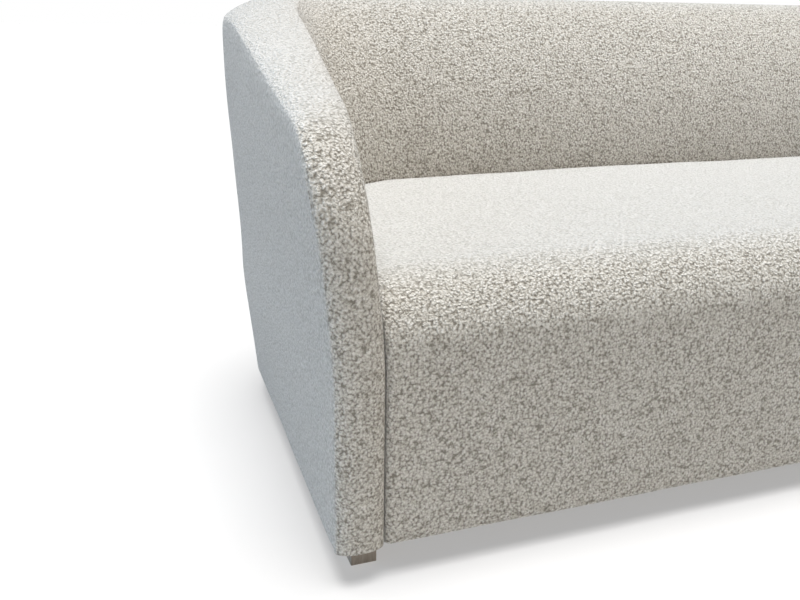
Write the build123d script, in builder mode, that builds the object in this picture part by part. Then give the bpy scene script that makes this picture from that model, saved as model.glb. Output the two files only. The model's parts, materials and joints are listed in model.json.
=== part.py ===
"""Three-seat tub sofa with a tight seat, slim leaning arms and short square wooden legs.

Millimetres. X runs along the sofa, Y from its front to its back, Z up from the floor. The origin is on the
floor under the middle of the sofa, and the left side is the one at negative X. The soft body is a set of
layers: an outer block, a cavity between the arms and a side profile are each made at several insets, and a
layer is what lies between two of them. Ranges are written as two values, the lower first.
"""

import os

from build123d import *

# Overall sizes. The arms lean out to the full width, which they would reach at the top.
overall_width = 2100
overall_depth = 816
overall_height = 780
body_bottom = 54
foot_width = 2040

front_y = -overall_depth / 2
rear_y = overall_depth / 2
base_half_width = foot_width / 2
lean_out = (overall_width - foot_width) / 2
lean_start_z = 250
lofted_top = overall_height + 20

# Plan of the tub, and the side profile of the arms and the back
rear_corner_radius = 188
seam_x = base_half_width - rear_corner_radius
seam_y = rear_y - rear_corner_radius
arm_front_thickness = 76
arm_plan_taper = 0.084
shoulder_z = 608
shoulder_radius = 170
arm_rise = 0.232
crest_radius = 400
back_stations = [  # height, the back's front face there, and the radius of the inside corners
    (body_bottom, 200, 250),
    (lean_start_z, 200, 250),
    (500, 200, 250),
    (600, 213, 240),
    (660, 230, 225),
    (710, 253, 205),
    (750, 283, 180),
    (775, 318, 152),
    (lofted_top, 345, 135),
]
shell_stations = [  # height, and how far the outer faces stand in to round the top's outer edge
    (body_bottom, 0),
    (lean_start_z, 0),
    (715, 0),
    (740, 10),
    (760, 34),
    (lofted_top, 110),
]
inside_corner_x = 640
inside_corner_y = -40

# Layers, counted in from the outer faces
cover = 3
side_padding = 8
side_panel = 9
back_board = 6
arm_post = 30
hardboard = 3
top_padding = 12
padding_face = cover + side_padding
panel_face = padding_face + side_panel
board_face = padding_face + back_board
post_face = panel_face + arm_post
foam_face = post_face + hardboard
top_face = cover + top_padding
sheet_bottom = body_bottom + cover
mouth = 200

# Seat
seat_front_y = -400
seat_rear_y = 198.5
seat_front_z = 440
seat_rear_z = 448
seat_roll_radius = 90
seat_rear_radius = 1
seat_gap = 1.5
front_foam = 22
felt = 5

# Frame
plywood = 18
rail = 25
rail_bottom = sheet_bottom + plywood
rail_top = 290
rail_end_x = base_half_width - post_face
former_face = cover + panel_face
former_under = top_face + plywood
front_rail_y = seat_front_y + cover + front_foam
front_post_rear_y = -352
rear_post_front_y = seam_y - 45
stretcher_x = 330
stretcher_top = 195
back_rake = 0.124
back_frame_y = 276
back_frame_top = 742
top_rail_bottom = 690
foot_rail = (283, 303, 304, 344)
rib_xs = [-780, -390, 0, 390, 780]
webbing_xs = [-640, -520, -260, -130, 130, 260, 520, 640]
webbing = (50, 2)
webbing_top = 715
webbing_room = 3
plate_width = 150
front_plate_rear_y = -250
rear_plate_rear_y = 385
dowel_radius = 4
dowel_length = 36
dowel_zs = (120, 240)

# Elastic straps that carry the seat
strap = (70, 2)
strap_count = 16
strap_pitch = 112
strap_end_gap = 2
felt_end_gap = 10
cross_strap_ys = (-260, -120, 20, 140)
deck_z = rail_top + 2 * strap[1]
soft_bottom = deck_z + felt

# Legs
leg = 38
leg_edge_radius = 1.5
leg_clearance = 1
leg_places = [(-970, -342), (970, -342), (-935, 300), (935, 300)]
glide_radius = 11
glide_height = 3
bolt_radius = 4
bolt_bottom = 25
bolt_top = 84
tee_nut_radius = 5.5
tee_nut_bottom = 60
tee_flange_radius = 9
tee_flange = 1.5
relief_radius = 11
relief_height = 10


def lean(height):
    """How far the arms stand outside their foot at a height."""
    return max(0, height - lean_start_z) / (overall_height - lean_start_z) * lean_out


def box(x_range, y_range, z_range):
    """A block between two values on each axis."""
    with BuildPart() as piece:
        with BuildSketch(Plane.XY.offset(z_range[0])):
            with Locations((sum(x_range) / 2, sum(y_range) / 2)):
                Rectangle(x_range[1] - x_range[0], y_range[1] - y_range[0])
        extrude(amount=z_range[1] - z_range[0])
    return piece.part


def outer_block(inset):
    """The tub's outer form: a rectangle with round rear corners that widens upwards to a rounded edge."""
    with BuildPart() as piece:
        for height, turned_in in shell_stations:
            step = inset + turned_in
            half = base_half_width + lean(height) - step
            rear = rear_y - step
            with BuildSketch(Plane.XY.offset(height)):
                with Locations((0, (front_y + rear) / 2)):
                    Rectangle(2 * half, rear - front_y)
                fillet(vertices().group_by(Axis.Y)[-1], rear_corner_radius - step)
        loft(ruled=True)
    return piece.part


def cavity_block(inset):
    """The space between the arms, open at the front and cut into the padding by an inset."""
    mouth_y = front_y - mouth
    with BuildPart() as piece:
        for height, back, radius in back_stations:
            half = base_half_width - arm_front_thickness + lean(height) + inset
            rear = back + inset
            wide = half - (mouth_y - front_y) * arm_plan_taper
            narrow = half - (rear - front_y) * arm_plan_taper
            with BuildSketch(Plane.XY.offset(height)):
                with BuildLine():
                    Polyline((-wide, mouth_y), (wide, mouth_y), (narrow, rear), (-narrow, rear), close=True)
                make_face()
                fillet(vertices().group_by(Axis.Y)[-1], radius + inset)
        loft(ruled=True)
    return piece.part


def profile_block(inset, bottom):
    """All that lies under the side profile: upright front, round shoulder, sloped arm, level back."""
    top = overall_height - inset
    front = front_y + inset
    shoulder = shoulder_z + inset * arm_rise - inset * (1 + arm_rise**2) ** 0.5
    crest = front + (top - shoulder) / arm_rise
    behind = rear_y + mouth
    with BuildPart() as piece:
        with BuildSketch(Plane.YZ):
            with BuildLine():
                outline = FilletPolyline(
                    (front, bottom),
                    (front, shoulder),
                    (crest, top),
                    (behind, top),
                    radius=[shoulder_radius - inset, crest_radius - inset],
                )
                Polyline(outline @ 1, (behind, bottom), outline @ 0)
            make_face()
        extrude(amount=overall_width, both=True)
    return piece.part


def seat_block(inset):
    """All that lies under the seat's profile: upright front, round front edge, top rising to the back."""
    slope = (seat_rear_z - seat_front_z) / (seat_rear_y - seat_front_y)
    with BuildPart() as piece:
        with BuildSketch(Plane.YZ):
            with BuildLine():
                outline = FilletPolyline(
                    (seat_front_y + inset, body_bottom),
                    (seat_front_y + inset, seat_front_z + slope * inset - inset),
                    (seat_rear_y, seat_rear_z - inset),
                    (seat_rear_y, body_bottom),
                    radius=[seat_roll_radius - inset, seat_rear_radius],
                )
                Line(outline @ 1, outline @ 0)
            make_face()
        extrude(amount=overall_width, both=True)
    return piece.part


def back_frame_block(forward):
    """The wedge that holds the back's frame, behind a raked plane that can be moved forward."""
    foot = back_frame_y - forward
    with BuildPart() as piece:
        with BuildSketch(Plane.YZ):
            with BuildLine():
                Polyline(
                    (foot, rail_top),
                    (foot + back_rake * (back_frame_top - rail_top), back_frame_top),
                    (rear_y, back_frame_top),
                    (rear_y, rail_top),
                    close=True,
                )
            make_face()
        extrude(amount=seam_x, both=True)
    return piece.part


def between(outside, inside, *limits):
    """What is inside the first solid and every limit but outside the second."""
    with BuildPart() as piece:
        add(outside)
        for limit in limits:
            add(limit, mode=Mode.INTERSECT)
        add(inside, mode=Mode.SUBTRACT)
    return piece


def save(name, piece):
    """Label a finished piece and write it."""
    piece.part.label = name
    export_step(piece.part, f"parts/{name}.step")


def save_pair(name, left):
    """Write a piece of the left side and its mirror image."""
    save(f"{name}_left", left)
    with BuildPart() as right:
        mirror(left.part, about=Plane.YZ)
    save(f"{name}_right", right)


os.makedirs("parts", exist_ok=True)

# The forms that bound the layers
far = overall_width
high = (body_bottom, lofted_top)
outer_insets = (0, cover, padding_face, board_face, panel_face, post_face, foam_face)
outer = {inset: outer_block(inset) for inset in outer_insets}
cavity = {inset: cavity_block(inset) for inset in (-seat_gap, 0, cover, former_face)}
profile = {inset: profile_block(inset, sheet_bottom) for inset in (cover, top_face, former_under)}
full_profile = profile_block(0, body_bottom)
cover_profile = profile_block(cover, body_bottom)
arm_rail_under = profile_block(top_face + arm_post, sheet_bottom)
left_half = box((-far, 0), (-far, far), high)
left_arm = box((-far, -inside_corner_x), (-far, inside_corner_y), high)
left_flat_side = box((-far, 0), (-far, seam_y), high)
left_corner = box((-far, -seam_x), (seam_y, far), high)
left_wrap = box((-far, -seam_x), (-far, far), high)
back_span = box((-seam_x, seam_x), (seam_y, far), high)
seat_frame_zone = box((-far, far), (front_rail_y, far), (body_bottom, soft_bottom))

# Covers
save_pair("outer_side_cover", between(outer[0], outer[cover], full_profile, left_wrap))
save("outer_back_cover", between(outer[0], outer[cover], full_profile, back_span))

with BuildPart() as lining:
    add(cavity[cover])
    add(cavity[0], mode=Mode.SUBTRACT)
    add(full_profile, mode=Mode.INTERSECT)
    add(outer[cover], mode=Mode.INTERSECT)
    add(seat_frame_zone, mode=Mode.SUBTRACT)
save_pair("inside_arm_cover", between(lining.part, seat_frame_zone, left_arm))
with BuildPart() as inside_back_cover:
    add(lining.part)
    add(box((-far, far), (-far, inside_corner_y), high), mode=Mode.SUBTRACT)
save("inside_back_cover", inside_back_cover)

with BuildPart() as band:
    add(full_profile)
    add(cover_profile, mode=Mode.SUBTRACT)
    add(outer[cover], mode=Mode.INTERSECT)
    add(cavity[cover], mode=Mode.SUBTRACT)
save_pair("arm_band", between(band.part, box((-far, far), (seam_y, far), high), left_half))
with BuildPart() as back_top_band:
    add(band.part)
    add(box((-far, far), (-far, seam_y), high), mode=Mode.SUBTRACT)
save("back_top_band", back_top_band)

with BuildPart() as seat_cover:
    add(seat_block(0))
    add(seat_block(cover), mode=Mode.SUBTRACT)
    add(cavity[-seat_gap], mode=Mode.INTERSECT)
save("seat_cover", seat_cover)

with BuildPart() as dust_cover:
    add(outer[panel_face])
    add(box((-far, far), (front_rail_y, far), (body_bottom, sheet_bottom)), mode=Mode.INTERSECT)
    with BuildSketch(Plane.XY.offset(body_bottom)):
        with Locations(*leg_places):
            Rectangle(leg + leg_clearance, leg + leg_clearance)
    extrude(amount=cover, mode=Mode.SUBTRACT)
save("dust_cover", dust_cover)

# Padding under the covers of the arms and the back
with BuildPart() as wrap:
    add(profile[cover])
    add(outer[cover], mode=Mode.INTERSECT)
    add(cavity[cover], mode=Mode.SUBTRACT)
    add(between(outer[padding_face], cavity[cover], profile[top_face]).part, mode=Mode.SUBTRACT)
save_pair("arm_padding", between(wrap.part, box((-seam_x, far), (-far, far), high)))
save("back_padding", between(wrap.part, left_flat_side, box((-seam_x, seam_x), (-far, far), high)))

# Rails under the seat
dowel_ys = ((front_rail_y + front_post_rear_y) / 2, seam_y - rail / 2)
with BuildPart() as dowels:
    with Locations(*[(x, y, z) for x in (-rail_end_x, rail_end_x) for y in dowel_ys for z in dowel_zs]):
        Cylinder(dowel_radius, dowel_length, rotation=(0, 90, 0))
save("frame_dowels", dowels)

with BuildPart() as reliefs:
    with Locations(*[(x, y, rail_bottom) for x, y in leg_places]):
        Cylinder(relief_radius, 2 * relief_height)

for name, y_range in {
    "front_rail": (front_rail_y, front_rail_y + rail),
    "rear_rail": (seam_y - rail, seam_y),
}.items():
    with BuildPart() as cross_rail:
        add(box((-rail_end_x, rail_end_x), y_range, (rail_bottom, rail_top)))
        add(dowels.part, mode=Mode.SUBTRACT)
        add(reliefs.part, mode=Mode.SUBTRACT)
    save(name, cross_rail)

side_rail_span = (front_post_rear_y, rear_post_front_y)
with BuildPart() as side_rail:
    add(box((-rail_end_x - rail, -rail_end_x), side_rail_span, (rail_bottom, rail_top)))
    add(reliefs.part, mode=Mode.SUBTRACT)
save_pair("side_rail", side_rail)

stretcher_span = (front_rail_y + rail, seam_y - rail)
with BuildPart() as stretcher:
    add(box((-stretcher_x - rail, -stretcher_x), stretcher_span, (rail_bottom, stretcher_top)))
save_pair("seat_stretcher", stretcher)

# Arm frames
arm_depth = between(outer[panel_face], outer[post_face], left_half).part
with BuildPart() as front_post:
    add(arm_depth)
    add(profile[top_face], mode=Mode.INTERSECT)
    add(box((-far, 0), (-far, front_post_rear_y), (rail_bottom, far)), mode=Mode.INTERSECT)
    add(dowels.part, mode=Mode.SUBTRACT)
save_pair("arm_front_post", front_post)

with BuildPart() as rear_post:
    add(arm_depth)
    add(arm_rail_under, mode=Mode.INTERSECT)
    add(box((-far, 0), (rear_post_front_y, seam_y), (rail_bottom, far)), mode=Mode.INTERSECT)
    add(dowels.part, mode=Mode.SUBTRACT)
save_pair("arm_rear_post", rear_post)

with BuildPart() as arm_top_rail:
    add(arm_depth)
    add(profile[top_face], mode=Mode.INTERSECT)
    add(arm_rail_under, mode=Mode.SUBTRACT)
    add(box((-far, 0), (front_post_rear_y, seam_y), high), mode=Mode.INTERSECT)
save_pair("arm_top_rail", arm_top_rail)

under_top = profile[top_face]
save_pair("arm_side_panel", between(outer[padding_face], outer[panel_face], under_top, left_flat_side))
board_span = box((-far, 0), (-far, seam_y), (soft_bottom, far))
save_pair("arm_inner_board", between(outer[post_face], outer[foam_face], under_top, board_span))

# Rounded rear corners
save_pair("corner_panel", between(outer[padding_face], outer[panel_face], under_top, left_corner))
with BuildPart() as corner_formers:
    add(box((-far, -seam_x), (seam_y, far), (rail_bottom, rail_bottom + plywood)))
    add(outer[panel_face], mode=Mode.INTERSECT)
    add(reliefs.part, mode=Mode.SUBTRACT)
    add(between(under_top, profile[former_under], outer[panel_face], left_corner).part)
    add(between(cavity[former_face], seat_frame_zone).part, mode=Mode.SUBTRACT)
save_pair("corner_formers", corner_formers)

# Back frame
frame_wedge = back_frame_block(0)
save("back_board", between(outer[padding_face], outer[board_face], under_top, back_span))

with BuildPart() as back_top_rail:
    add(frame_wedge)
    add(outer[board_face], mode=Mode.INTERSECT)
    add(box((-far, far), (-far, far), (top_rail_bottom, far)), mode=Mode.INTERSECT)
save("back_top_rail", back_top_rail)

with BuildPart() as back_foot_rail:
    add(box((-seam_x, seam_x), foot_rail[:2], foot_rail[2:]))
save("back_foot_rail", back_foot_rail)

with BuildPart() as back_ribs:
    for x in rib_xs:
        with BuildSketch(Plane.YZ.offset(x)):
            with BuildLine():
                Polyline(
                    (seam_y, rail_bottom),
                    (seam_y, rail_top),
                    (back_frame_y, rail_top),
                    (back_frame_y + back_rake * (top_rail_bottom - rail_top), top_rail_bottom),
                    (rear_y - board_face, top_rail_bottom),
                    (rear_y - board_face, rail_bottom),
                    close=True,
                )
            make_face()
        extrude(amount=plywood / 2, both=True)
    add(back_foot_rail.part, mode=Mode.SUBTRACT)
save("back_ribs", back_ribs)

# Upright straps of elastic webbing, stapled to the front of the top rail and of the foot rail
strap_plane = Plane(
    origin=(0, back_frame_y, rail_top), x_dir=(1, 0, 0), z_dir=(0, -1, back_rake)
)
strap_foot = foot_rail[2] - rail_top
strap_head = webbing_top - rail_top
with BuildPart() as back_webbing:
    with BuildSketch(strap_plane):
        for x in webbing_xs:
            with Locations((x, (strap_foot + strap_head) / 2)):
                Rectangle(webbing[0], strap_head - strap_foot)
    extrude(amount=webbing[1])
save("back_webbing", back_webbing)

# Seat straps, front to back and then side to side over them, and the felt on top
strap_span = (front_rail_y, seam_y)
with BuildPart() as seat_straps:
    with GridLocations(strap_pitch, 1, strap_count, 1):
        with Locations((0, sum(strap_span) / 2, rail_top + strap[1] / 2)):
            Box(strap[0], strap_span[1] - strap_span[0], strap[1])
save("seat_straps", seat_straps)

with BuildPart() as cross_straps:
    with Locations(*[(0, y, deck_z - strap[1] / 2) for y in cross_strap_ys]):
        Box(2 * (rail_end_x - strap_end_gap), strap[0], strap[1])
save("cross_straps", cross_straps)

with BuildPart() as seat_felt:
    felt_end_x = rail_end_x - felt_end_gap
    add(box((-felt_end_x, felt_end_x), strap_span, (deck_z, soft_bottom)))
save("seat_felt", seat_felt)

# Foam of the seat, the arms and the back
with BuildPart() as seat_foam:
    add(seat_block(cover))
    add(cavity[-seat_gap], mode=Mode.INTERSECT)
    add(box((-far, far), (-far, far), (body_bottom, soft_bottom)), mode=Mode.SUBTRACT)
save("seat_foam", seat_foam)

front_foam_span = (front_rail_y - front_foam, front_rail_y)
with BuildPart() as seat_front_foam:
    add(cavity[-seat_gap])
    add(box((-far, far), front_foam_span, (sheet_bottom, soft_bottom)), mode=Mode.INTERSECT)
save("seat_front_foam", seat_front_foam)

with BuildPart() as arm_lining_foam:
    add(outer[foam_face])
    add(profile[top_face], mode=Mode.INTERSECT)
    add(cavity[cover], mode=Mode.SUBTRACT)
    add(seat_frame_zone, mode=Mode.SUBTRACT)
    add(corner_formers.part, mode=Mode.SUBTRACT)
save_pair("arm_foam", between(arm_lining_foam.part, seat_frame_zone, left_arm))

foam_wedge = back_frame_block(webbing_room)
left_inside_corner = box((-far, -inside_corner_x), (inside_corner_y, far), high)
save_pair("corner_foam", between(arm_lining_foam.part, foam_wedge, left_inside_corner))

back_foam_span = (-inside_corner_x, inside_corner_x)
with BuildPart() as back_foam:
    add(outer[board_face])
    add(under_top, mode=Mode.INTERSECT)
    add(box(back_foam_span, (-far, far), (soft_bottom, far)), mode=Mode.INTERSECT)
    add(cavity[cover], mode=Mode.SUBTRACT)
    add(foam_wedge, mode=Mode.SUBTRACT)
save("back_foam", back_foam)

# Plates that carry the legs
plate_outer_x = base_half_width - panel_face
plate_inner_x = plate_outer_x - plate_width
with BuildPart() as corner_plates:
    for x_range in ((-plate_outer_x, -plate_inner_x), (plate_inner_x, plate_outer_x)):
        add(box(x_range, (front_rail_y, front_plate_rear_y), (sheet_bottom, rail_bottom)))
        add(box(x_range, (seam_y - rail, rear_plate_rear_y), (sheet_bottom, rail_bottom)))
    add(outer[panel_face], mode=Mode.INTERSECT)
    with Locations(*[(x, y, rail_bottom - plywood / 2) for x, y in leg_places]):
        Cylinder(tee_nut_radius, plywood, mode=Mode.SUBTRACT)
save("corner_plates", corner_plates)

# Legs, each on a hanger bolt that screws into a tee nut, with a glide under it
for (x, y), name in zip(leg_places, ("front_left", "front_right", "rear_left", "rear_right")):
    with BuildPart() as leg_post:
        with BuildSketch(Plane.XY.offset(glide_height)):
            with Locations((x, y)):
                Rectangle(leg, leg)
        extrude(amount=sheet_bottom - glide_height)
        fillet(edges().filter_by(Axis.Z), leg_edge_radius)
        with Locations((x, y, (bolt_bottom + sheet_bottom) / 2)):
            Cylinder(bolt_radius, sheet_bottom - bolt_bottom, mode=Mode.SUBTRACT)
    save(f"leg_{name}", leg_post)

with BuildPart() as leg_bolts:
    with Locations(*[(x, y, (bolt_bottom + bolt_top) / 2) for x, y in leg_places]):
        Cylinder(bolt_radius, bolt_top - bolt_bottom)
save("leg_bolts", leg_bolts)

with BuildPart() as tee_nuts:
    with Locations(*[(x, y, (tee_nut_bottom + rail_bottom) / 2) for x, y in leg_places]):
        Cylinder(tee_nut_radius, rail_bottom - tee_nut_bottom)
    with Locations(*[(x, y, rail_bottom + tee_flange / 2) for x, y in leg_places]):
        Cylinder(tee_flange_radius, tee_flange)
    add(leg_bolts.part, mode=Mode.SUBTRACT)
save("tee_nuts", tee_nuts)

with BuildPart() as floor_glides:
    with Locations(*[(x, y, glide_height / 2) for x, y in leg_places]):
        Cylinder(glide_radius, glide_height)
save("floor_glides", floor_glides)
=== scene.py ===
"""Looks of a boucle tub sofa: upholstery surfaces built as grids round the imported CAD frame, in metres."""

import json
import math

import bpy
import numpy as np
from mathutils import Matrix, Vector


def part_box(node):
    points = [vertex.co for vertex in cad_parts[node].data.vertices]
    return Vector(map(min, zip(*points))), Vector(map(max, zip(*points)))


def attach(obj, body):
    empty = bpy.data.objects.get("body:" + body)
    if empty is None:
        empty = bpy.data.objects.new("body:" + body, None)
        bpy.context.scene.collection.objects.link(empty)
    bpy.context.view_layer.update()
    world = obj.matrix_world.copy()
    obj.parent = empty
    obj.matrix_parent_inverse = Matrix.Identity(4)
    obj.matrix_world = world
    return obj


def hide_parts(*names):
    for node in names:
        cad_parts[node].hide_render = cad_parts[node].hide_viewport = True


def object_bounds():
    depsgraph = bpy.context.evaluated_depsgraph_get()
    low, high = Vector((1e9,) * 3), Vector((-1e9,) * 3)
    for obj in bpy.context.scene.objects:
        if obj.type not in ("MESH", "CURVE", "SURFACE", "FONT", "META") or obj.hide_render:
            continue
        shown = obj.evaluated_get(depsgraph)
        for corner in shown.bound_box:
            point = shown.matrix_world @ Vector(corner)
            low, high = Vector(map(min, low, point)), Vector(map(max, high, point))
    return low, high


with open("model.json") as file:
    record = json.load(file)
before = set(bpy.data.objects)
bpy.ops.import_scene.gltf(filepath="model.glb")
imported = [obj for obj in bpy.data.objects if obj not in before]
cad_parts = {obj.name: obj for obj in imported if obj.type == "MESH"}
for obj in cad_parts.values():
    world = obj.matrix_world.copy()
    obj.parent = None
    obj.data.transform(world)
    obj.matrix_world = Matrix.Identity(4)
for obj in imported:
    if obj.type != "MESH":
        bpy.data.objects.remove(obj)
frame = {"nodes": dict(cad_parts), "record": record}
cad_low, cad_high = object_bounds()

# Outer form of the tub. Y runs from the front to the back, and the left side is at negative X.
body_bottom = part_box("outer_back_cover")[0][2]
rear_y = cad_high[1]
crease_y = cad_low[1] + 0.014
puff = 0.0025
front_half_width = 1.0235 - puff
rear_half_width = 1.0115 - puff
front_lean = 0.031
rear_tuck = 0.021
rear_lean = 0.016
inner_lean = 0.027
crown_power = 2.3
crown_root = 1.7
corner_radius = 0.188
corner_y = rear_y - corner_radius
top_z = cad_high[2]
rear_crease_z = 0.730
inner_lift = 0.014
arm_rise = 0.2323
arm_line_z = 0.6045
shoulder_depth = 0.080
shoulder_drop = 0.120
inner_shoulder_depth = 0.135
inner_shoulder_drop = 0.150
band_crown = 0.014
corner_crown = 0.008

# Inner form: the space between the arms, which opens and turns tighter towards the back's rolled top
inner_half_width = 0.952
inner_taper = 0.084
seam_y = 0.200
back_roll_start_z = 0.47
back_roll_depth = 0.145
low_corner_radius = 0.25
high_corner_radius = 0.13
mitre = 1.5
middle = 2.5
rear_join = 2.04

# Seat
seat_front_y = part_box("seat_cover")[0][1]
seat_rear_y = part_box("seat_cover")[1][1]
seat_front_z = 0.440
seat_rear_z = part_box("seat_cover")[1][2]
seat_roll = 0.095
seat_gap = 0.002
seat_edge = 0.010
seat_side_drop = 0.0045
seat_side_reach = 0.45
skirt = 0.05


def smooth(low, high, value):
    """0 below low, 1 above high, and an S curve between."""
    t = np.clip((value - low) / (high - low), 0, 1)
    return t * t * (3 - 2 * t)


def spread(start, end, count):
    """Numbers from start to end, packed closer towards both ends."""
    return start + (end - start) * (1 - np.cos(np.linspace(0, math.pi, count))) / 2


def outer_half_width(z, share):
    """Half width outside at a height: share 0 at the arm's front, which leans out, and 1 from the rear
    corner on, where the foot is tucked in."""
    front = front_half_width + front_lean * smooth(0.27, 0.68, z)
    rear = rear_half_width + rear_tuck * smooth(0.03, 0.30, z) + rear_lean * smooth(0.30, 0.66, z)
    return front + (rear - front) * share


def lean_inside(z):
    """How far the arm's inner face leans outward."""
    return inner_lean * smooth(0.29, 0.64, z)


def fold(place):
    """The left half's parameter for a parameter that may run on into the mirror image."""
    return np.where(place > middle, 2 * middle - place, place)


def soft_min(first, second, softness):
    """The smaller of two numbers, with a rounded change from one to the other."""
    return -softness * np.log(np.exp(-first / softness) + np.exp(-second / softness))


def shoulder(y, depth, drop, power):
    """How far the arm's top rounds down at its front."""
    reach = np.clip(1 - (y - crease_y) / depth, 0, 1)
    return drop * (1 - (1 - reach**power) ** (1 / power))


def crease_height(y):
    """Height of the seam along the top of the side, the corner and the back."""
    line = arm_line_z + arm_rise * (y - crease_y)
    return soft_min(line, rear_crease_z, 0.008) - shoulder(y, shoulder_depth, shoulder_drop, 2.4)


def inner_height(y):
    """Height of the inner edge of the arm's top, which climbs on to the top of the back."""
    line = arm_line_z + arm_rise * (y - crease_y) + inner_lift * smooth(-0.30, 0.05, y)
    rounding = shoulder(y, inner_shoulder_depth, inner_shoulder_drop, 2.1)
    return soft_min(line, top_z - 0.001, 0.006) - rounding


def outer_plan(a, z):
    """Point and outward normal on the outer plan: a runs 0 to 1 on the left side, to 2 on its corner, to 2.5
    at the middle of the back, and on to 5 as a mirror image."""
    mirrored = a > middle
    a = fold(a)
    half = outer_half_width(z, np.clip(a, 0, 1))
    angle = np.clip(a - 1, 0, 1) * math.pi / 2
    x = -(half - corner_radius) - corner_radius * np.cos(angle)
    y = corner_y + corner_radius * np.sin(angle)
    y = np.where(a < 1, crease_y + (corner_y - crease_y) * a, y)
    x = np.where(a > 2, -(half - corner_radius) * (1 - 2 * (a - 2)), x)
    whole = np.ones_like(x)
    sign = np.where(mirrored, -1, 1)
    return x * sign, y * whole, -np.cos(angle) * whole * sign, np.sin(angle) * whole


def inner_plan(b, z):
    """Point and normal, away from the seat, on the plan of the inner faces at a height. b runs 0 to 1 on the
    left arm, to 2 on the corner, to 2.5 at the middle of the back, and on to 5 as a mirror image."""
    mirrored = b > middle
    b = fold(b)
    rise = np.clip((z - back_roll_start_z) / (top_z - back_roll_start_z), 0, 1)
    open_by = 1 - (1 - rise**1.8) ** (1 / 1.8)
    back_y = seam_y + back_roll_depth * open_by
    radius = low_corner_radius + (high_corner_radius - low_corner_radius) * open_by
    corner_x = -(inner_half_width + lean_inside(z) - inner_taper * (back_y - crease_y))
    norm = math.hypot(1, inner_taper)
    along = (inner_taper / norm, 1 / norm)
    turn = math.pi / 2 - math.atan(inner_taper)
    reach = radius * math.tan(turn / 2)
    centre_x = corner_x - along[0] * reach + along[1] * radius
    centre_y = back_y - along[1] * reach - along[0] * radius
    angle = np.clip(b - 1, 0, 1) * turn
    nx = -along[1] * np.cos(angle) + along[0] * np.sin(angle)
    ny = along[0] * np.cos(angle) + along[1] * np.sin(angle)
    x = centre_x + radius * nx
    y = centre_y + radius * ny
    start_y = back_y - along[1] * reach
    arm_y = crease_y + (start_y - crease_y) * b
    arm_x = corner_x - inner_taper * (back_y - arm_y)
    x = np.where(b < 1, arm_x, np.where(b > 2, (corner_x + reach) * (1 - 2 * (b - 2)), x))
    y = np.where(b < 1, arm_y, y)
    sign = np.where(mirrored, -1, 1)
    return x * sign, y, nx * sign, ny


def top_height(b):
    """Height at which the inner faces end: the arm's seam, and the crown of the back behind the mitre."""
    b = fold(b)
    z = np.full_like(b, rear_crease_z)
    for _ in range(12):
        z = 0.5 * z + 0.5 * inner_height(inner_plan(b, z)[1])
    return z + (top_z - 0.001 - z) * smooth(mitre, 2.1, b)


def outer_for_inner(b, y_top):
    """The outer plan's parameter across the top from an inner column."""
    mirrored = b > middle
    b = fold(b)
    straight = (y_top - crease_y) / (corner_y - crease_y)
    start = straight[np.argmin(np.abs(b - 1))] if np.any(b <= 1) else 0.85
    along = start + (mitre - start) * np.clip((b - 1) / (mitre - 1), 0, 1)
    behind = mitre + (rear_join - mitre) * (b - mitre) / (2 - mitre)
    rear = rear_join + (middle - rear_join) * (b - 2) / (middle - 2)
    a = np.where(b < 1, straight, np.where(b < mitre, along, np.where(b < 2, behind, rear)))
    return np.where(mirrored, 2 * middle - a, a)


def ripple(x, y, z, size):
    """Gentle unevenness of stuffed cloth."""
    waves = (
        np.sin(9.1 * x + 3.7 * y + 12.3 * z + 0.4)
        + np.sin(-14.9 * x + 17.0 * y + 6.1 * z + 1.9)
        + np.sin(23.0 * x - 8.3 * y - 19.7 * z + 4.1)
        + 0.6 * np.sin(37.0 * x + 29.0 * y + 41.0 * z + 2.2)
    )
    return size * waves / 3


def grid_piece(name, points, material, flip=False):
    """A mesh from a grid of points, rows by columns, with smooth shading."""
    rows, columns = points.shape[:2]
    index = np.arange(rows * columns).reshape(rows, columns)
    around = (index[:-1, :-1], index[:-1, 1:], index[1:, 1:], index[1:, :-1])
    quads = np.stack(around, axis=-1).reshape(-1, 4)
    if flip:
        quads = quads[:, ::-1]
    mesh = bpy.data.meshes.new(name)
    mesh.from_pydata(points.reshape(-1, 3).tolist(), [], quads.tolist())
    mesh.polygons.foreach_set("use_smooth", [True] * len(mesh.polygons))
    mesh.materials.append(material)
    piece = bpy.data.objects.new(name, mesh)
    bpy.context.scene.collection.objects.link(piece)
    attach(piece, "root")
    return piece


def both_sides(name, points, material, flip=False):
    """A grid piece of the left side and its mirror image."""
    left = grid_piece(f"{name}_left", points, material, flip)
    right = grid_piece(f"{name}_right", points * np.array((-1, 1, 1)), material, not flip)
    return left, right


# Upholstery surfaces


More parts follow.
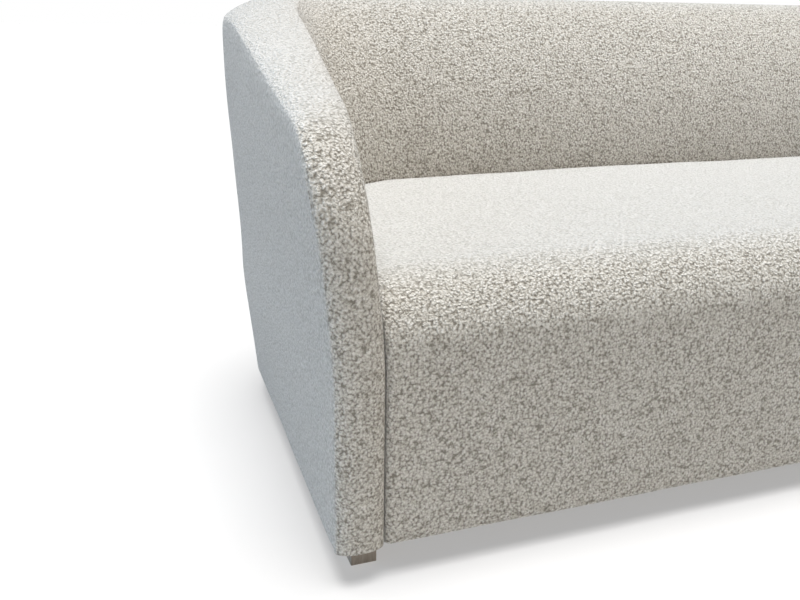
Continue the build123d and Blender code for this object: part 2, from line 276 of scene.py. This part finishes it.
def outer_wrap_points():
    """Side, rear corner, back, rear corner and side in one cloth, with its lower edge turned under."""
    front = crease_y + shoulder_depth * (1 - np.cos(np.linspace(0, math.pi / 2, 22)))
    rest = np.linspace(front[-1], corner_y, 96)[1:]
    side = (np.concatenate((front, rest)) - crease_y) / (corner_y - crease_y)
    half = np.concatenate((side, np.linspace(1, 2, 50)[1:], np.linspace(2, middle, 150)[1:]))
    a = np.concatenate((half, 2 * middle - half[-2::-1]))[None, :]
    rows = np.concatenate((np.linspace(0, 0.9, 90), np.linspace(0.9, 1, 22)[1:]))[:, None]
    top = crease_height(outer_plan(a, 0.0)[1])
    z = body_bottom + rows * (top - body_bottom)
    x, y, nx, ny = outer_plan(a, z)
    from_top = top - z
    from_front = np.where(fold(a) < 1, y - crease_y, 1.0)
    gap = np.minimum(from_top, from_front)
    from_foot = z - body_bottom
    out = puff * (1 - np.exp(-gap / 0.009)) - 0.003 * np.exp(-from_foot / 0.004)
    out = out + ripple(x, y, z, 0.0009) * (1 - np.exp(-gap / 0.03))
    surface = np.stack((x + nx * out, y + ny * out, z), axis=-1)
    hem = []
    for inward, lift in ((0.027, 0.0015), (0.010, -0.0008), (0.0045, -0.0004)):
        edge = surface[0].copy()
        edge[:, 0] -= nx[0] * (inward - 0.003)
        edge[:, 1] -= ny[0] * (inward - 0.003)
        edge[:, 2] = body_bottom + lift
        hem.append(edge)
    return np.concatenate((np.array(hem), surface))


def crown_height(v, w, b):
    """Rise of the top between its inner edge, at v 0, and its outer seam: a pillow on the arms (w 0), a
    flatter one on the rear corners, and none on the back (w 1)."""
    folded = fold(b)
    corner = smooth(0.85, 1.15, folded) * (1 - smooth(1.6, 2.05, folded))
    pillow = (1 - np.abs(2 * v - 1) ** crown_power) ** (1 / crown_root)
    return pillow * (band_crown * (1 - w) + corner_crown * corner)


def across_top(b, v):
    """Points across the top from the inner edge to the outer seam, by column b and row v."""
    z_in = top_height(b)
    x_in, y_in = inner_plan(b, z_in)[:2]
    a = outer_for_inner(b, y_in)
    y_out = outer_plan(a, 0.0)[1]
    z_out = crease_height(y_out)
    x_out = outer_plan(a, z_out)[0]
    folded = fold(b)
    w = np.where(folded < 1, smooth(-0.15, 0.15, y_in), 1.0)
    share = v[:, None]
    x = x_in + (x_out - x_in) * share
    y = y_in + (y_out - y_in) * share
    flat = z_in + (z_out - z_in) * share
    rolled = z_out + (z_in - z_out) * (1 - share**crown_power) ** (1 / crown_root)
    z = flat * (1 - w) + rolled * w
    return x, y, z, w


def smoothed_along(values, line, span):
    """values at the points of a line, averaged over a span of its length."""
    length = np.concatenate(([0], np.cumsum(np.linalg.norm(np.diff(line, axis=0), axis=1))))
    even = np.arange(0, length[-1], span / 24)
    kernel = np.hanning(25)
    padded = np.pad(np.interp(even, length, values), 12, mode="edge")
    return np.interp(length, even, np.convolve(padded, kernel / kernel.sum(), mode="valid"))


def arm_band_points():
    """The strip up the arm's front, over its shoulder and back along its top to the mitre."""
    v = spread(0, 1, 34)
    end_in = arm_line_z - inner_shoulder_drop
    end_out = arm_line_z - shoulder_drop
    end = end_in + (end_out - end_in) * v[:, None]
    z_up = body_bottom + (end - body_bottom) * np.linspace(0, 1, 130)
    x_out = outer_plan(np.zeros(1), z_up)[0]
    x_in = inner_plan(np.zeros(1), z_up)[0]
    lower = np.stack((x_in + (x_out - x_in) * v[:, None], np.full(z_up.shape, crease_y), z_up), axis=-1)
    start_y = inner_plan(np.ones(1), top_height(np.ones(1)))[1][0]
    round_y = crease_y + inner_shoulder_depth * (1 - np.cos(np.linspace(0, math.pi / 2, 70)))[1:]
    b_round = (round_y - crease_y) / (start_y - crease_y)
    b = np.concatenate((b_round, np.linspace(b_round[-1], 1, 130)[1:], np.linspace(1, mitre, 60)[1:]))
    x, y, z, w = across_top(b, v)
    upper = np.stack((x, y, z), axis=-1)
    points = np.concatenate((lower, upper), axis=1)
    spine = points[len(v) // 2]
    along = np.gradient(spine, axis=0)
    tilt = smoothed_along(np.arctan2(along[:, 2], np.hypot(along[:, 0], along[:, 1])), spine, 0.060)
    upright = np.zeros(z_up.shape[1])
    heading = np.concatenate((upright, smooth(1, mitre, b) * math.pi / 4))
    rise = crown_height(v[:, None], np.concatenate((upright, w)), np.concatenate((upright, b)))
    rise = rise * (1 + ripple(points[..., 0], points[..., 1] * 2, points[..., 2] * 2, 0.06))
    points[..., 0] -= rise * np.sin(tilt) * np.sin(heading)
    points[..., 1] -= rise * np.sin(tilt) * np.cos(heading)
    points[..., 2] += rise * np.cos(tilt)
    hem = points[:, :1].copy()
    hem[..., 1] = crease_y + 0.006
    hem[..., 2] = body_bottom + 0.001
    return np.concatenate((hem, points), axis=1)


def arm_lining_points():
    """The arm's inner face, from its front to the mitre."""
    start_y = inner_plan(np.ones(1), top_height(np.ones(1)))[1][0]
    round_y = crease_y + inner_shoulder_depth * (1 - np.cos(np.linspace(0, math.pi / 2, 40)))[:-1]
    b_round = (round_y - crease_y) / (start_y - crease_y)
    b = np.concatenate((b_round, np.linspace(b_round[-1], 1, 90)[1:], np.linspace(1, mitre, 40)[1:]))
    top = top_height(b)
    z = body_bottom + np.linspace(0, 1, 110)[:, None] * (top - body_bottom)
    x, y, nx, ny = inner_plan(b[None, :], z)
    inset = 0.002 * (1 - np.exp(-(top - z) / 0.01)) * smooth(0, 0.05, b)
    return np.stack((x - nx * inset, y - ny * inset, z), axis=-1)


def inside_back_points():
    """The back's inner face with both corners, rolled over the top to the rear seam."""
    corner = np.linspace(mitre, 2, 50)
    half = np.concatenate((corner, np.linspace(2, middle, 150)[1:]))
    b = np.concatenate((half, 2 * middle - half[-2::-1]))
    low_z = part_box("back_foam")[0][2] + 0.06
    rise = np.sin(np.linspace(0, math.pi / 2, 90))[:, None]
    top = top_height(b)
    z = low_z + rise * (top - low_z)
    x, y, nx, ny = inner_plan(b[None, :], z)
    front = np.stack((x, y, z), axis=-1)
    v = np.sin(np.linspace(0, math.pi / 2, 30))[1:]
    x, y, z, w = across_top(b, v)
    z = z + crown_height(v[:, None], w, b)
    over = np.stack((x, y, z), axis=-1)
    points = np.concatenate((front, over))
    size = 0.0010 * (1 - np.exp(-np.linspace(1, 0, len(points)) / 0.05))[:, None]
    points[..., 1] += ripple(points[..., 0], points[..., 1], points[..., 2], 1.0) * size
    return points


def seat_side_x(y, z):
    """Half width of the seat at a place on its outline."""
    norm = math.hypot(1, inner_taper)
    turn = math.pi / 2 - math.atan(inner_taper)
    reach = low_corner_radius * math.tan(turn / 2)
    corner_x = inner_half_width + lean_inside(z) - inner_taper * (seam_y - crease_y)
    centre_x = corner_x + inner_taper / norm * reach - low_corner_radius / norm
    centre_y = seam_y - reach / norm - low_corner_radius * inner_taper / norm
    start_y = seam_y - reach / norm
    straight = inner_half_width + lean_inside(z) - inner_taper * (y - crease_y)
    inside = np.clip(low_corner_radius**2 - (y - centre_y) ** 2, 0, None)
    return np.where(y < start_y, straight, centre_x + np.sqrt(inside)) - seat_gap


def edge_drop(distance):
    """How far a soft edge has turned down at a distance from the outline."""
    d = np.clip(distance, 0, seat_edge)
    return seat_edge - np.sqrt(seat_edge**2 - (seat_edge - d) ** 2)


def seat_points():
    """The seat's cloth: up its front, over the round front edge and back to the seam, with tucked sides."""
    slope = (seat_rear_z - seat_front_z) / (seat_rear_y - seat_front_y)
    z_start = seat_front_z - seat_roll
    up = np.linspace(body_bottom, z_start, 66)
    angle = np.linspace(0, math.pi / 2, 40)[1:]
    flat_y = np.concatenate((
        np.linspace(seat_front_y + seat_roll, 0.05, 70)[1:],
        0.05 + (seat_rear_y - 0.05) * np.sin(np.linspace(0, math.pi / 2, 50))[1:],
    ))
    y = np.concatenate((
        np.full(len(up), seat_front_y),
        seat_front_y + seat_roll * (1 - np.cos(angle)),
        flat_y,
    ))[:, None]
    z = np.concatenate((
        up,
        z_start + seat_roll * np.sin(angle),
        seat_front_z + slope * (flat_y - seat_front_y - seat_roll),
    ))[:, None]
    facing_up = np.concatenate((np.zeros(len(up)), np.sin(angle), np.ones(len(flat_y))))[:, None]
    edge = np.sin(np.linspace(-math.pi / 2, 0, 10))[:-1] * 0.012 + 0.012
    share = np.concatenate((edge, np.linspace(0.0125, 1, 150)))
    across = np.concatenate((share - 1, 1 - share[-2::-1]))[None, :]
    side = seat_side_x(y, z)
    x = across * side
    from_side = side - np.abs(x)
    from_rear = np.where(y > 0, seat_rear_y - y, 1.0)
    crown = seat_side_drop * (1 - smooth(0, seat_side_reach, from_side))
    drop = np.maximum(edge_drop(from_side), edge_drop(from_rear)) + crown * facing_up
    drop = drop + ripple(x, y, z, 0.0009)
    hem = 0.003 * np.exp(-(z - body_bottom) / 0.004) * (1 - facing_up)
    forward = np.sqrt(1 - facing_up**2)
    surface = np.stack((x, y + (drop + hem) * forward, z - drop * facing_up), axis=-1)
    under = surface[:1].copy()
    under[..., 1] += 0.012
    under[..., 2] = body_bottom + 0.001
    surface = np.concatenate((under, surface))
    back = surface[-1:].copy()
    back[..., 2] -= skirt
    surface = np.concatenate((surface, back))
    left = surface[:, :1].copy()
    right = surface[:, -1:].copy()
    down = np.concatenate(([0], facing_up[:, 0], [1]))[:, None]
    for border in (left, right):
        border[..., 2] -= skirt * down
        border[..., 1] += skirt * np.sqrt(1 - down**2)
    return np.concatenate((left, surface, right), axis=1)


# Materials


class Nodes:
    """A short way to write a node tree."""

    def __init__(self, name):
        self.material = bpy.data.materials.new(name)
        self.material.use_nodes = True
        self.tree = self.material.node_tree
        self.shader = self.tree.nodes["Principled BSDF"]
        self.place = self.add("ShaderNodeTexCoord").outputs["Object"]

    def add(self, kind, inputs=None, **settings):
        node = self.tree.nodes.new(kind)
        for key, value in settings.items():
            setattr(node, key, value)
        for key, value in (inputs or {}).items():
            self.put(node.inputs[key], value)
        return node

    def put(self, socket, value):
        if isinstance(value, bpy.types.NodeSocket):
            self.tree.links.new(value, socket)
        else:
            socket.default_value = value

    def math(self, operation, first, second=0.0):
        node = self.add("ShaderNodeMath", {0: first, 1: second}, operation=operation)
        return node.outputs[0]

    def vector(self, operation, first, second):
        node = self.add("ShaderNodeVectorMath", {0: first, 1: second}, operation=operation)
        return node.outputs[0]

    def noise(self, scale, detail=2.0, vector=None):
        inputs = {"Scale": scale, "Detail": detail, "Vector": vector or self.place}
        return self.add("ShaderNodeTexNoise", inputs).outputs

    def centred(self, value, size):
        """A value that averages a half, moved to average 0 and scaled."""
        return self.math("MULTIPLY", self.math("SUBTRACT", value, 0.5), size)

    def ramp(self, value, stops):
        node = self.add("ShaderNodeValToRGB", {"Fac": value})
        elements = node.color_ramp.elements
        for element, (position, colour) in zip(elements, stops[:2]):
            element.position = position
            element.color = (*colour, 1)
        for position, colour in stops[2:]:
            elements.new(position).color = (*colour, 1)
        return node.outputs["Color"]

    def bump(self, height, strength, distance, normal=None):
        inputs = {"Height": height, "Strength": strength, "Distance": distance}
        if normal:
            inputs["Normal"] = normal
        return self.add("ShaderNodeBump", inputs).outputs["Normal"]


def boucle():
    """Ivory looped cloth: nubs of 3 to 6 mm, with painted shade in the pits between them, strongest on faces
    turned to the front or back, where light only grazes the cloth.
    """
    n = Nodes("boucle")
    wander = n.vector("SUBTRACT", n.noise(220.0, 1.0)["Color"], (0.5, 0.5, 0.5))
    bent = n.vector("ADD", n.place, n.vector("MULTIPLY", wander, (0.004, 0.004, 0.004)))
    cells = {"Vector": bent, "Scale": 235.0, "Smoothness": 0.3}
    nub = n.add("ShaderNodeTexVoronoi", cells, feature="SMOOTH_F1").outputs["Distance"]
    loops = n.centred(n.noise(330.0)["Fac"], 1.3)
    fuzz = n.noise(1300.0)["Fac"]
    height = n.math("ADD", n.math("SUBTRACT", 1.0, nub), loops)
    height = n.math("ADD", height, n.centred(fuzz, 0.3))
    # Colour by nub height: the low pits are painted darker as shade, strongly in the first ramp and faintly
    # in the second.
    strong_painted_pit_shade = [(0.12, (0.27, 0.25, 0.21)), (0.52, (0.60, 0.575, 0.52)), (0.95, (0.85, 0.835, 0.79))]
    faint_painted_pit_shade = [(0.12, (0.50, 0.495, 0.465)), (0.95, (0.76, 0.755, 0.735))]
    # Painted shade by facing: the strong pit shade goes on faces turned to the front or back, the faint one
    # on tops and sides.
    normal = n.add("ShaderNodeNewGeometry").outputs["Normal"]
    front_or_back = n.math("ABSOLUTE", n.add("ShaderNodeSeparateXYZ", {0: normal}).outputs["Y"])
    share = n.add("ShaderNodeMapRange", {"Value": front_or_back, "From Min": 0.18, "From Max": 0.70})
    mixed = {"Factor": share.outputs[0], 6: n.ramp(height, faint_painted_pit_shade), 7: n.ramp(height, strong_painted_pit_shade)}
    n.put(n.shader.inputs["Base Color"], n.add("ShaderNodeMix", mixed, data_type="RGBA").outputs[2])
    n.put(n.shader.inputs["Roughness"], n.math("ADD", n.math("MULTIPLY", fuzz, 0.12), 0.84))
    n.shader.inputs["Specular IOR Level"].default_value = 0.15
    n.shader.inputs["Sheen Weight"].default_value = 0.10
    n.put(n.shader.inputs["Normal"], n.bump(height, 1.0, 0.0035))
    return n.material


def timber(name, dark, light, scale, rough):
    """Straight-grained wood with its grain along Z."""
    n = Nodes(name)
    stretched = n.vector("MULTIPLY", n.place, (1.0, 1.0, 0.12))
    grain = n.noise(scale, 6.0, stretched)["Fac"]
    pores = n.noise(scale * 9, 2.0, stretched)["Fac"]
    mixed = n.math("ADD", n.math("MULTIPLY", grain, 0.7), n.math("MULTIPLY", pores, 0.3))
    n.put(n.shader.inputs["Base Color"], n.ramp(mixed, [(0.35, dark), (0.65, light)]))
    n.put(n.shader.inputs["Roughness"], n.math("ADD", n.math("MULTIPLY", pores, 0.2), rough))
    n.put(n.shader.inputs["Normal"], n.bump(mixed, 0.3, 0.0004))
    return n.material


def soft(name, dark, light, scale, depth):
    """Foam, wadding, felt or thin cloth: a fine speckle with a bump."""
    n = Nodes(name)
    cells = n.add("ShaderNodeTexVoronoi", {"Vector": n.place, "Scale": scale}).outputs["Distance"]
    cloud = n.noise(scale / 8, 3.0)["Fac"]
    mixed = n.math("ADD", n.math("MULTIPLY", cells, 0.6), n.math("MULTIPLY", cloud, 0.4))
    n.put(n.shader.inputs["Base Color"], n.ramp(mixed, [(0.2, light), (0.7, dark)]))
    n.put(n.shader.inputs["Roughness"], n.math("ADD", n.math("MULTIPLY", cloud, 0.1), 0.85))
    n.put(n.shader.inputs["Normal"], n.bump(mixed, 0.4, depth))
    return n.material


def woven(name, dark, light, pitch):
    """Woven strap: two crossed waves."""
    n = Nodes(name)
    waves = {"Vector": n.place, "Scale": 1 / pitch}
    warp = n.add("ShaderNodeTexWave", waves, bands_direction="X").outputs["Fac"]
    weft = n.add("ShaderNodeTexWave", waves, bands_direction="Y").outputs["Fac"]
    mixed = n.math("MULTIPLY", warp, weft)
    n.put(n.shader.inputs["Base Color"], n.ramp(mixed, [(0.1, dark), (0.9, light)]))
    n.put(n.shader.inputs["Roughness"], n.math("ADD", n.math("MULTIPLY", mixed, 0.1), 0.75))
    n.put(n.shader.inputs["Normal"], n.bump(mixed, 0.5, 0.0005))
    return n.material


def zinc():
    """Bright zinc plate with faint blotches."""
    n = Nodes("zinc_steel")
    cloud = n.noise(180.0, 4.0)["Fac"]
    blotches = [(0.3, (0.52, 0.53, 0.55)), (0.7, (0.66, 0.67, 0.68))]
    n.put(n.shader.inputs["Base Color"], n.ramp(cloud, blotches))
    n.shader.inputs["Metallic"].default_value = 1.0
    n.put(n.shader.inputs["Roughness"], n.math("ADD", n.math("MULTIPLY", cloud, 0.25), 0.25))
    n.put(n.shader.inputs["Normal"], n.bump(cloud, 0.1, 0.0002))
    return n.material


def floor_paint():
    """Plain pale floor, lit a little from within so that shadows on it stay soft and light."""
    n = Nodes("studio_floor")
    cloud = n.noise(3.0, 3.0)["Fac"]
    tints = [(0.2, (0.425, 0.42, 0.415)), (0.8, (0.435, 0.43, 0.425))]
    n.put(n.shader.inputs["Base Color"], n.ramp(cloud, tints))
    n.shader.inputs["Emission Color"].default_value = (1.0, 0.99, 0.98, 1)
    n.shader.inputs["Emission Strength"].default_value = 0.40
    n.shader.inputs["Roughness"].default_value = 0.9
    return n.material


cloth = boucle()
finishes = {
    "boucle": cloth,
    "wadding": soft("wadding", (0.72, 0.72, 0.70), (0.88, 0.88, 0.86), 300.0, 0.0010),
    "foam": soft("foam", (0.62, 0.56, 0.36), (0.84, 0.78, 0.56), 900.0, 0.0004),
    "felt": soft("felt", (0.20, 0.19, 0.18), (0.42, 0.40, 0.38), 700.0, 0.0006),
    "cambric": soft("cambric", (0.012, 0.012, 0.013), (0.030, 0.030, 0.032), 1400.0, 0.0003),
    "webbing": woven("webbing", (0.02, 0.02, 0.022), (0.08, 0.08, 0.085), 0.0022),
    "frame_wood": timber("frame_wood", (0.44, 0.30, 0.17), (0.66, 0.50, 0.32), 60.0, 0.55),
    "leg_wood": timber("leg_wood", (0.24, 0.205, 0.165), (0.42, 0.37, 0.31), 120.0, 0.42),
    "zinc_steel": zinc(),
    "glide": soft("glide", (0.012, 0.012, 0.012), (0.03, 0.03, 0.03), 500.0, 0.0002),
}
for entry in frame["record"]["subparts"]:
    node = frame["nodes"][entry["node"]]
    node.data.materials.clear()
    node.data.materials.append(finishes[entry["material_slot"]])

# Pieces
wrap = grid_piece("outer_wrap", outer_wrap_points(), cloth, flip=True)
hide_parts("outer_side_cover_left", "outer_side_cover_right", "outer_back_cover", "back_padding")
bands = both_sides("arm_top_band", arm_band_points(), cloth)
linings = both_sides("arm_lining", arm_lining_points(), cloth)
for side, band, lining in zip(("left", "right"), bands, linings):
    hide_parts(f"arm_band_{side}", f"arm_padding_{side}")
    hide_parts(f"inside_arm_cover_{side}", f"arm_foam_{side}", f"corner_foam_{side}")
back = grid_piece("inside_back", inside_back_points(), cloth)
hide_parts("inside_back_cover", "back_foam", "back_top_band")
seat = grid_piece("seat", seat_points(), cloth)
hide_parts("seat_cover", "seat_foam", "seat_front_foam")

# Studio
floor_mesh = bpy.data.meshes.new("floor")
reach = 40.0
corners = [(-reach, -reach, 0), (reach, -reach, 0), (reach, reach, 0), (-reach, reach, 0)]
floor_mesh.from_pydata(corners, [], [(0, 1, 2, 3)])
floor_mesh.materials.append(floor_paint())
floor = bpy.data.objects.new("floor", floor_mesh)
bpy.context.scene.collection.objects.link(floor)


def sun(name, colour, strength, softness, direction):
    """A soft distant light that shines along a direction."""
    light = bpy.data.lights.new(name, "SUN")
    light.color = colour
    light.energy = strength
    light.angle = math.radians(softness)
    lamp = bpy.data.objects.new(name, light)
    lamp.rotation_euler = Vector(direction).to_track_quat("-Z", "Y").to_euler()
    bpy.context.scene.collection.objects.link(lamp)


sun("overhead", (1.0, 1.0, 1.0), 4.7, 40, (0.0, 0.04, -1.0))
sun("cool_side", (0.30, 0.62, 1.0), 0.84, 60, (1.0, 0.1, -0.25))
sun("warm_front", (1.0, 0.60, 0.15), 0.30, 60, (-0.5, 1.0, -0.2))
# A strip above the seat's front that shines on the back
strip = bpy.data.lights.new("over_seat", "AREA")
strip.shape = "RECTANGLE"
strip.size = 4.2
strip.size_y = 0.35
strip.energy = 7.5
strip.color = (1.0, 0.97, 0.98)
strip_lamp = bpy.data.objects.new("over_seat", strip)
strip_lamp.location = (0, -0.44, 1.22)
strip_lamp.rotation_euler = Vector((0, 0.93, -0.37)).to_track_quat("-Z", "Y").to_euler()
strip_lamp.visible_camera = False
bpy.context.scene.collection.objects.link(strip_lamp)
# Weak even light, and a white backdrop behind the floor
world = bpy.data.worlds.new("studio")
world.use_nodes = True
tree = world.node_tree
fill = tree.nodes["Background"]
fill.inputs["Color"].default_value = (0.95, 0.97, 1.0, 1)
fill.inputs["Strength"].default_value = 0.02
backdrop = tree.nodes.new("ShaderNodeBackground")
backdrop.inputs["Color"].default_value = (1.0, 1.0, 1.0, 1)
seen = tree.nodes.new("ShaderNodeMixShader")
tree.links.new(tree.nodes.new("ShaderNodeLightPath").outputs["Is Camera Ray"], seen.inputs[0])
tree.links.new(fill.outputs[0], seen.inputs[1])
tree.links.new(backdrop.outputs[0], seen.inputs[2])
tree.links.new(seen.outputs[0], tree.nodes["World Output"].inputs["Surface"])
bpy.context.scene.world = world
bpy.context.scene.view_settings.view_transform = "Standard"

# Camera
yaw, pitch, roll = (math.radians(v) for v in (19.68, 19.12, 0.95))
ahead = Vector((math.sin(yaw) * math.cos(pitch), math.cos(yaw) * math.cos(pitch), -math.sin(pitch)))
level = Vector((math.cos(yaw), -math.sin(yaw), 0))
above = level.cross(ahead)
right = level * math.cos(roll) + above * math.sin(roll)
up = above * math.cos(roll) - level * math.sin(roll)
lens = bpy.data.cameras.new("camera")
lens.lens = 37.4
lens.sensor_width = 36
lens.clip_end = 60
camera = bpy.data.objects.new("camera", lens)
camera.matrix_world = Matrix((
    (right.x, up.x, -ahead.x, -1.2634),
    (right.y, up.y, -ahead.y, -1.3161),
    (right.z, up.z, -ahead.z, 0.7477),
    (0, 0, 0, 1),
))
bpy.context.scene.collection.objects.link(camera)
bpy.context.scene.camera = camera
